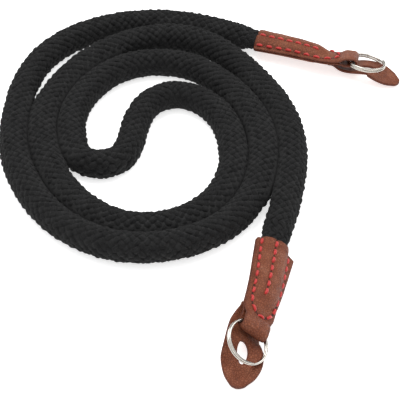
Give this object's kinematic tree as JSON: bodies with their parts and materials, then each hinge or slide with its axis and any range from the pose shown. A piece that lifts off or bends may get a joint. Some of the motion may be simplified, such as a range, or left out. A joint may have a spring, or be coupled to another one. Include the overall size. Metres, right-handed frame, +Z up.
{
  "type": "coiled rope camera strap",
  "caption": "Braided rope camera strap lying in a flat coil, with stitched leather sleeves, folded loops, slotted flaps and split rings at its ends.",
  "frame": {"origin": "middle of the strap's box, on the plane it lies on", "axes": "+Z up from the surface it lies on, +Y away from the viewer of the picture, +X to the right"},
  "size_m": [0.1481, 0.1807, 0.0124],
  "materials": {
    "black_cotton": "matte braided cotton",
    "brown_leather": "grained, semi-matte",
    "nickel": "polished nickel"
  },
  "bodies": {
    "root": {"rope": "black_cotton", "sleeve_lower": "brown_leather", "sleeve_upper": "brown_leather", "loop_lower": "brown_leather", "loop_upper": "brown_leather", "flap_lower": "brown_leather", "flap_upper": "brown_leather", "ring_lower": "nickel", "ring_upper": "nickel"}
  },
  "joints": []
}
